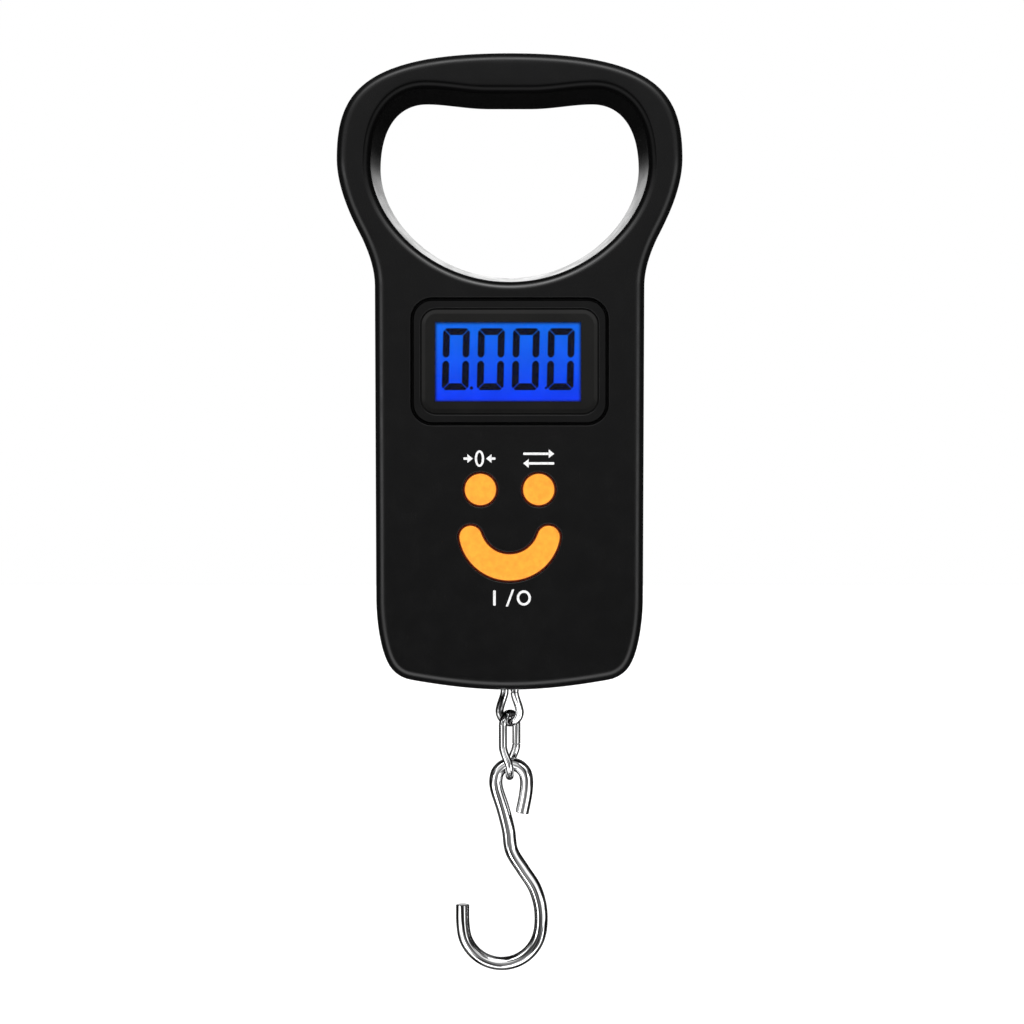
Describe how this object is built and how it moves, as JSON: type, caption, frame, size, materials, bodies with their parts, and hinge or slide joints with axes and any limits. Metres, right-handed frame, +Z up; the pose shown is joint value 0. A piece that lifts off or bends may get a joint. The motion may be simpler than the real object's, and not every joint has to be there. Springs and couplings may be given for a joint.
{
  "type": "digital fish scale",
  "caption": "Hand-held hanging scale: plastic case with hand opening, back-lit display and press buttons, and a chain and hook hung from a load cell.",
  "frame": {"origin": "centre line of the case, on the flat back of the rear shell, halfway between the display and the lower edge", "axes": "+Z up to the hand opening, +Y out of the flat back, the display faces -Y and +X is to its right"},
  "size_m": [0.0866, 0.0255, 0.2315],
  "materials": {
    "case_plastic": "satin black injection moulding",
    "button_plastic": "orange-yellow, fine matte",
    "clear_lens": "clear acrylic with a black printed border",
    "lcd_glass": "liquid crystal glass, lit blue from behind",
    "backlight": "light guide with blue film",
    "white_plastic": "natural white moulding",
    "connector_rubber": "striped conductive elastomer",
    "circuit_board": "green solder mask",
    "dark_component": "moulded component body",
    "plated_steel": "zinc or nickel plated",
    "chromed_steel": "polished chrome plating",
    "load_cell_aluminium": "machined, clear anodised",
    "gauge_foil": "polyimide film over etched foil",
    "battery_jacket": "printed green sleeve",
    "grey_insulation": "grey cable sheath",
    "red_insulation": "red wire insulation",
    "black_insulation": "black wire insulation"
  },
  "bodies": {
    "case": {"front_shell": "case_plastic", "rear_shell": "case_plastic", "case_screw_1": "plated_steel", "case_screw_2": "plated_steel", "case_screw_3": "plated_steel", "case_screw_4": "plated_steel", "case_screw_5": "plated_steel", "case_screw_6": "plated_steel", "display_lens": "clear_lens", "lcd_panel": "lcd_glass", "backlight_plate": "backlight", "backlight_led": "white_plastic", "connector_strip": "connector_rubber", "lcd_holder": "white_plastic", "main_board": "circuit_board", "controller_chip": "dark_component", "crystal": "plated_steel", "capacitor": "dark_component", "board_screw_1": "plated_steel", "board_screw_2": "plated_steel", "board_screw_3": "plated_steel", "board_screw_4": "plated_steel", "zero_switch": "dark_component", "unit_switch": "dark_component", "power_switch": "dark_component", "upper_battery": "battery_jacket", "lower_battery": "battery_jacket", "upper_battery_spring": "plated_steel", "lower_battery_spring": "plated_steel", "bridge_contact": "plated_steel", "spring_contact": "plated_steel", "positive_contact": "plated_steel", "load_cell": "load_cell_aluminium", "strain_gauge_1": "gauge_foil", "strain_gauge_2": "gauge_foil", "strain_gauge_3": "gauge_foil", "strain_gauge_4": "gauge_foil", "cross_bar": "plated_steel", "anchor_bolt": "plated_steel", "anchor_nut": "plated_steel", "eye_bolt_nut": "plated_steel", "eye_bolt": "chromed_steel", "load_cell_cable": "grey_insulation", "red_battery_wire": "red_insulation", "black_battery_wire": "black_insulation"},
    "zero_key": {"zero_button": "button_plastic", "zero_plunger": "white_plastic"},
    "unit_key": {"unit_button": "button_plastic", "unit_plunger": "white_plastic"},
    "power_key": {"power_button": "button_plastic", "power_plunger": "white_plastic"},
    "battery_door": {"battery_cover": "case_plastic"},
    "upper_chain_link": {"upper_link": "chromed_steel"},
    "lower_chain_link": {"lower_link": "chromed_steel"},
    "load_hook": {"hook": "chromed_steel"}
  },
  "joints": [
    {"name": "zero_button_press", "type": "slide", "parent": "case", "child": "zero_key", "axis": [0, 1, 0], "range_m": [0, 0.0005], "stiffness_N_per_m": 300, "springref_m": -0.001},
    {"name": "unit_button_press", "type": "slide", "parent": "case", "child": "unit_key", "axis": [0, 1, 0], "range_m": [0, 0.0005], "stiffness_N_per_m": 300, "springref_m": -0.001},
    {"name": "power_button_press", "type": "slide", "parent": "case", "child": "power_key", "axis": [0, 1, 0], "range_m": [0, 0.0005], "stiffness_N_per_m": 300, "springref_m": -0.001},
    {"name": "battery_cover_swing", "type": "hinge", "parent": "case", "child": "battery_door", "pos_m": [0, -0.0009, 0.0433], "axis": [1, 0, 0], "range_deg": [0, 75]},
    {"name": "upper_link_swing", "type": "hinge", "parent": "case", "child": "upper_chain_link", "pos_m": [0, -0.01, -0.0457], "axis": [0.4067, -0.9135, 0], "range_deg": [-15, 15]},
    {"name": "lower_link_swing", "type": "hinge", "parent": "upper_chain_link", "child": "lower_chain_link", "pos_m": [0, -0.01, -0.0617], "axis": [0.8387, -0.5446, 0], "range_deg": [-45, 45]},
    {"name": "hook_swing", "type": "hinge", "parent": "lower_chain_link", "child": "load_hook", "pos_m": [0, -0.01, -0.07235], "axis": [1, 0, 0], "range_deg": [-75, 75]}
  ]
}
